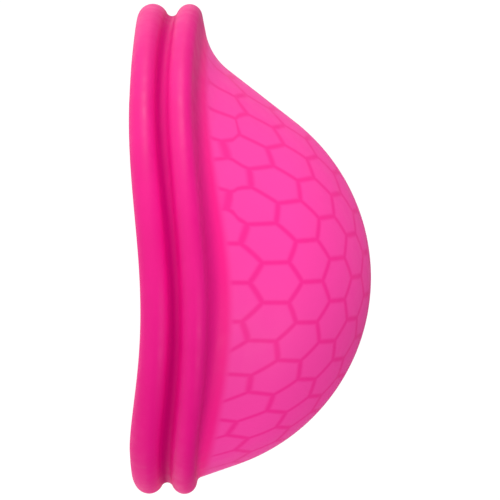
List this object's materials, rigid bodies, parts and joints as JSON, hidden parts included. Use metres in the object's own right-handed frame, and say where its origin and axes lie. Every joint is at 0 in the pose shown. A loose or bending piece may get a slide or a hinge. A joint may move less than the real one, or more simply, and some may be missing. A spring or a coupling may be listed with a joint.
{
  "type": "silicone cup",
  "caption": "Soft round silicone cup with a wavy double-bead rim, an offset domed basin and a honeycomb of ribs inside the thin wall.",
  "frame": {"origin": "on the surface that the cup stands on, mouth down, under the middle of the rim", "axes": "+Z along the basin's axis to its crown, +X towards the deep, steep side of the basin, Y across the mirror plane"},
  "size_m": [0.072, 0.072, 0.0344],
  "materials": {
    "rim_silicone": "matte hot pink silicone, thick and nearly opaque",
    "shoulder_silicone": "matte hot pink silicone, saturated where it thins",
    "thin_wall_silicone": "matte light pink silicone, thin and translucent",
    "rib_silicone": "matte pink silicone, moulded with the wall"
  },
  "bodies": {
    "cup": {"front_rim_bead": "rim_silicone", "rear_rim_bead": "rim_silicone", "shoulder_collar": "shoulder_silicone", "basin_wall": "thin_wall_silicone", "flexing_band": "thin_wall_silicone", "wall_ribs": "rib_silicone"},
    "crown": {"crown_cap": "thin_wall_silicone", "crown_ribs": "rib_silicone"}
  },
  "joints": [
    {"name": "crown_press", "type": "slide", "parent": "cup", "child": "crown", "axis": [0, 0, -1], "range_m": [0, 0.0065], "stiffness_N_per_m": 300, "deforming": ["flexing_band", "wall_ribs"]}
  ]
}
